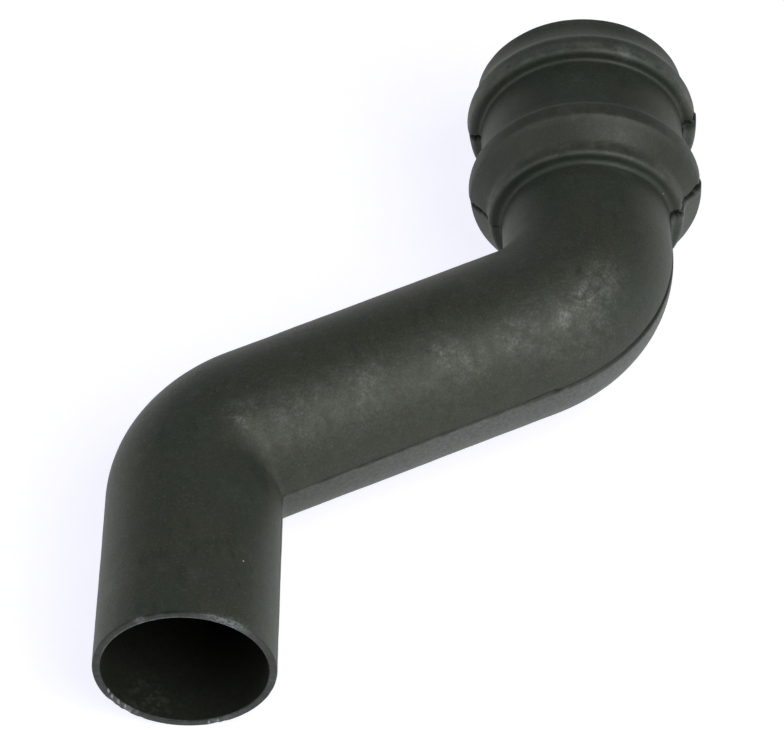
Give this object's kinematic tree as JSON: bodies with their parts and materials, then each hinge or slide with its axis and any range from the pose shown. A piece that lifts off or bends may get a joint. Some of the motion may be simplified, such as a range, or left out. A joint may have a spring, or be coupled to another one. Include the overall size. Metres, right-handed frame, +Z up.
{
  "type": "downpipe offset",
  "caption": "Cast-iron offset for a round rainwater downpipe: plain spigot, two bends joined by a slanted run, and a beaded socket.",
  "frame": {"origin": "under the middle of the casting's outline, on the surface that it lies on", "axes": "+Y along the pipe axes from the spigot's mouth to the socket's mouth, +X sideways from the spigot to the socket, +Z up"},
  "size_m": [0.2326, 0.2876, 0.0935],
  "materials": {
    "casting": "matt dark green-grey primer over a fine sand-cast skin"
  },
  "bodies": {
    "root": {"offset_casting": "casting"}
  },
  "joints": []
}
